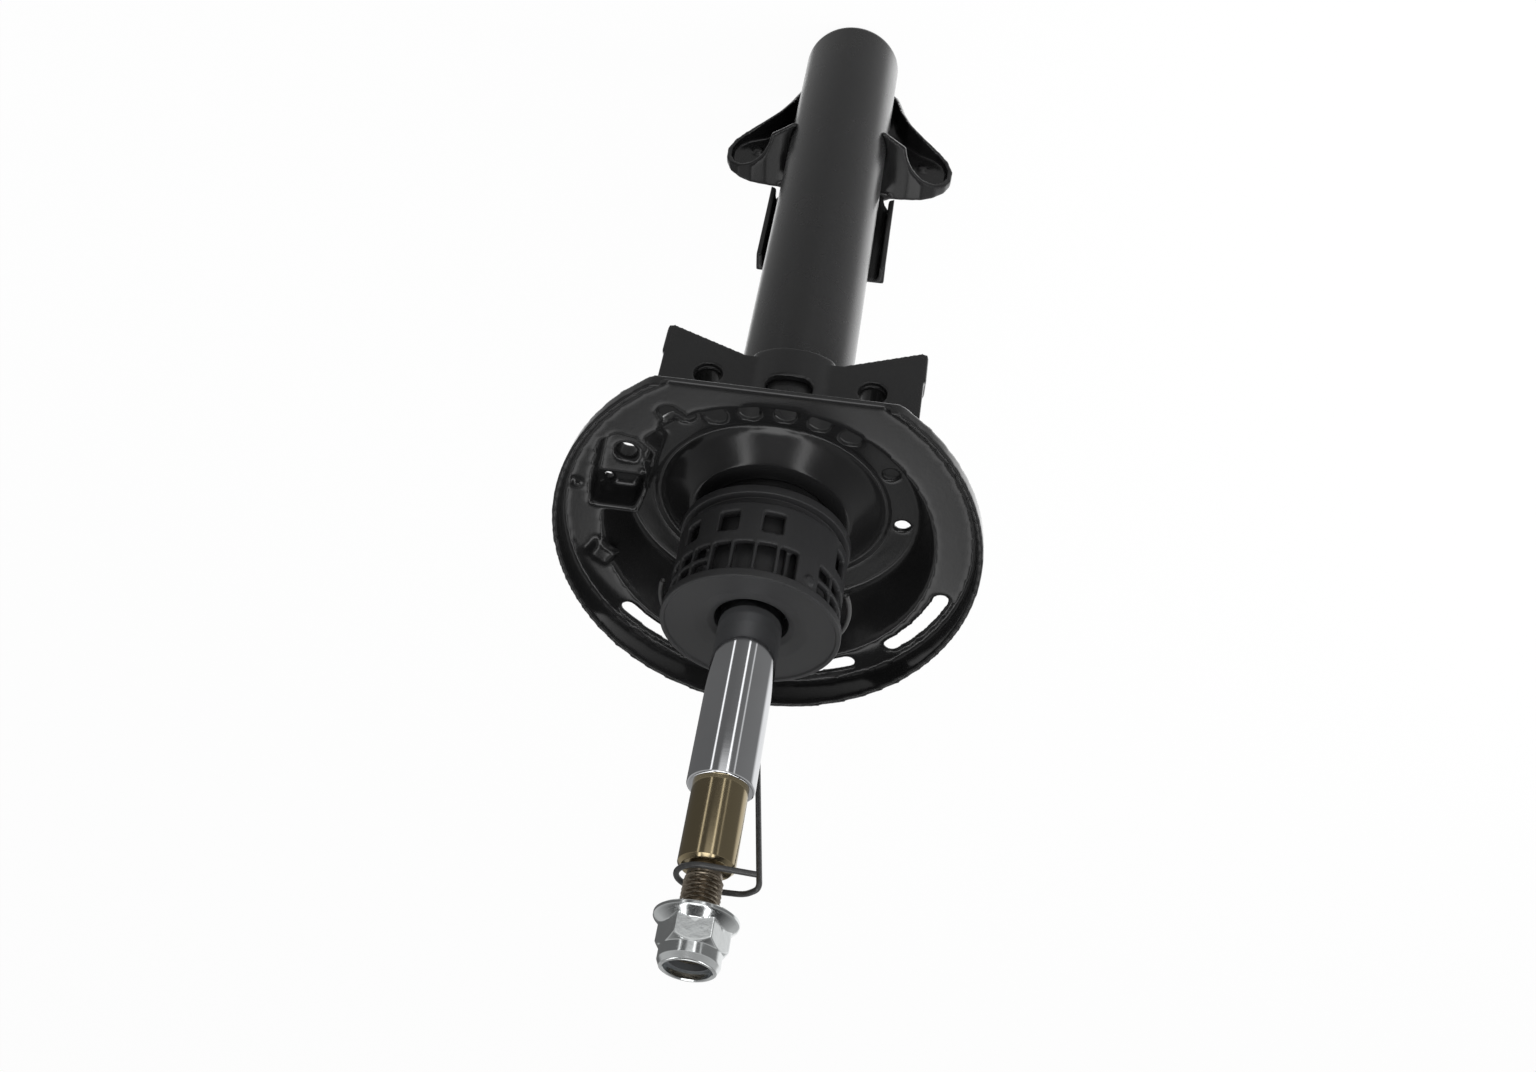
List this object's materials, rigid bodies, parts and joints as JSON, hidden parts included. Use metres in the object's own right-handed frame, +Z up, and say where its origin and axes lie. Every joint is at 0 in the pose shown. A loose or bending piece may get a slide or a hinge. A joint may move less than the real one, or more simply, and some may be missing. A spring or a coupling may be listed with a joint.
{
  "type": "strut assembly",
  "caption": "Twin-tube front strut with a chromed rod, leaning spring seat, wing plate with bolt holes, knuckle pan, vented bump cap and wire transport clip",
  "frame": {"origin": "centre of the closed foot of the damper tube, on the tube axis", "axes": "Z runs up the tube toward the rod end, -Y is the side of the wing plate, X runs along the line of its two bolt holes"},
  "size_m": [0.1748, 0.1608, 0.5232],
  "materials": {
    "e_coat": "black dip coating, satin",
    "weld": "coated weld bead",
    "rod_chrome": "polished hard chrome",
    "drawn_steel": "plain drawn steel",
    "valve_steel": "blank spring steel",
    "sintered_steel": "sintered, fine grain",
    "piston_band": "filled PTFE band",
    "rubber": "nitrile rubber",
    "bronze": "bronze backed bush",
    "cap_plastic": "moulded, fine texture",
    "zinc": "bright zinc",
    "lock_plastic": "nylon insert",
    "clip_wire": "dark phosphated spring wire"
  },
  "bodies": {
    "tube": {"reservoir_tube": "e_coat", "base_cap": "e_coat", "pressure_tube": "drawn_steel", "foot_valve_body": "sintered_steel", "foot_valve_rivet": "drawn_steel", "foot_shims": "valve_steel", "rod_guide": "sintered_steel", "guide_bush": "bronze", "rod_seal": "rubber", "closing_ring": "drawn_steel", "spring_seat": "e_coat", "seat_weld": "weld", "wing_plate": "e_coat", "wing_doubler_left": "e_coat", "wing_doubler_right": "e_coat", "wing_weld": "weld", "knuckle_pan": "e_coat", "pan_weld": "weld", "cap_sleeve": "cap_plastic", "cap_cage": "cap_plastic", "cap_disc": "cap_plastic", "bump_pad": "rubber"},
    "intake_disc": {"foot_intake_disc": "valve_steel"},
    "slider": {"piston_ring": "piston_band", "rebound_bumper": "rubber"},
    "rod": {"piston_rod": "rod_chrome", "piston": "sintered_steel", "piston_shims": "valve_steel", "piston_nut": "drawn_steel", "rebound_stop": "drawn_steel"},
    "nut_carrier": {"nut_lock_ring": "lock_plastic"},
    "nut": {"flange_nut": "zinc"},
    "clip": {"wire_clip": "clip_wire"}
  },
  "joints": [
    {"name": "intake_lift", "type": "slide", "parent": "tube", "child": "intake_disc", "axis": [0, 0, 1], "range_m": [0, 0.0012]},
    {"name": "rod_stroke", "type": "slide", "parent": "tube", "child": "slider", "axis": [0, 0, 1], "range_m": [0, 0.155]},
    {"name": "rod_turn", "type": "hinge", "parent": "slider", "child": "rod", "pos_m": [0, 0, 0.2], "axis": [0, 0, 1], "continuous": true},
    {"name": "nut_travel", "type": "slide", "parent": "rod", "child": "nut_carrier", "axis": [0, 0, 1], "range_m": [0, 0.012]},
    {"name": "nut_spin", "type": "hinge", "parent": "nut_carrier", "child": "nut", "pos_m": [0, 0, 0.5], "axis": [0, 0, 1], "range_deg": [0, 2880]},
    {"name": "clip_swivel", "type": "hinge", "parent": "rod", "child": "clip", "pos_m": [0, 0, 0.49], "axis": [0, 0, 1], "continuous": true}
  ],
  "couplings": [
    {"joint": "nut_spin", "follows": "nut_travel", "rad_per_m": 4188.8}
  ]
}
